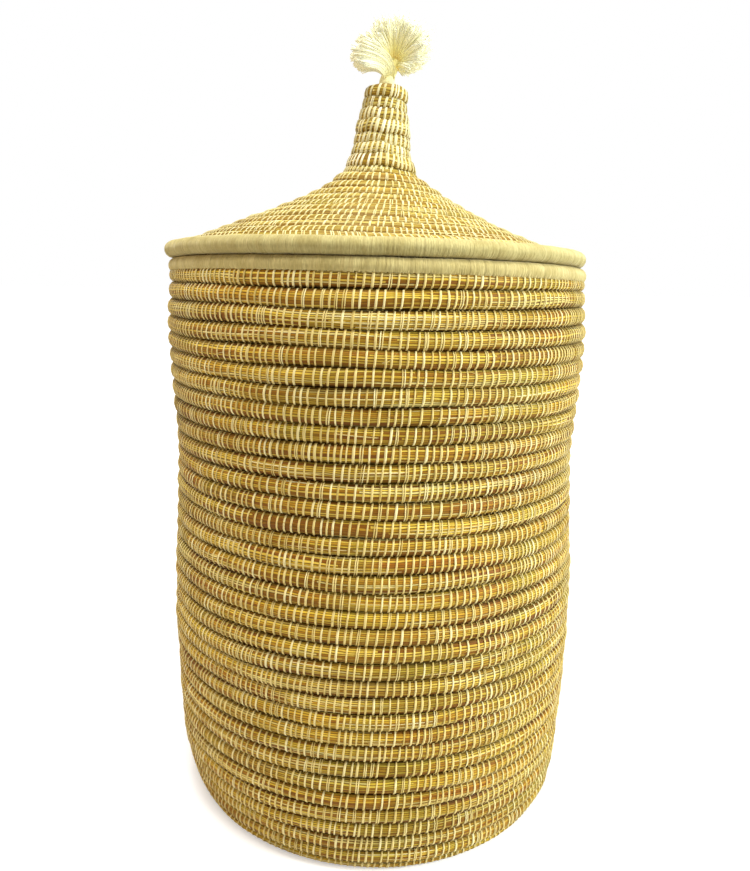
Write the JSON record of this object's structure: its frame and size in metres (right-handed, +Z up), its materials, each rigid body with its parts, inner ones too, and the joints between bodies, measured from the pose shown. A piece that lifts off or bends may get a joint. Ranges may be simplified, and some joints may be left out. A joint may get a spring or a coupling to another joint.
{
  "type": "lidded laundry basket",
  "caption": "Tall round laundry basket of coiled, stitched grass with yarn-wrapped rim, and a lift-off cone lid with a coiled neck and a yarn tassel.",
  "frame": {"origin": "middle of the flat underside, on the axis of the basket", "axes": "+Z up along the axis of the basket and lid; the pictured front faces -Y; +X to the right"},
  "size_m": [0.409, 0.409, 0.7546],
  "materials": {
    "grass_coil": "dry grass stalks bound with pale strips",
    "grass_core": "bundled dry grass stalks",
    "wrap_yarn": "close-wound matt cream yarn",
    "tassel_yarn": "soft fluffy cream yarn"
  },
  "bodies": {
    "basket": {"base_coil": "grass_coil", "wall_coil": "grass_coil", "rim_core": "grass_core", "rim_wrap": "wrap_yarn"},
    "lid": {"locating_ring": "grass_coil", "brim_core": "grass_core", "brim_wrap": "wrap_yarn", "lid_cone_coil": "grass_coil", "lid_neck_coil": "grass_coil", "tassel_knot": "tassel_yarn"},
    "tassel": {"tassel_stem": "tassel_yarn", "tassel_head": "tassel_yarn"}
  },
  "joints": [
    {"name": "lid_lift", "type": "slide", "parent": "basket", "child": "lid", "axis": [0, 0, 1], "range_m": [0, 0.25]},
    {"name": "tassel_sway", "type": "hinge", "parent": "lid", "child": "tassel", "pos_m": [0.005, 0, 0.692], "axis": [0, 1, 0], "range_deg": [-35, 25], "stiffness_Nm_per_rad": 0.06}
  ]
}
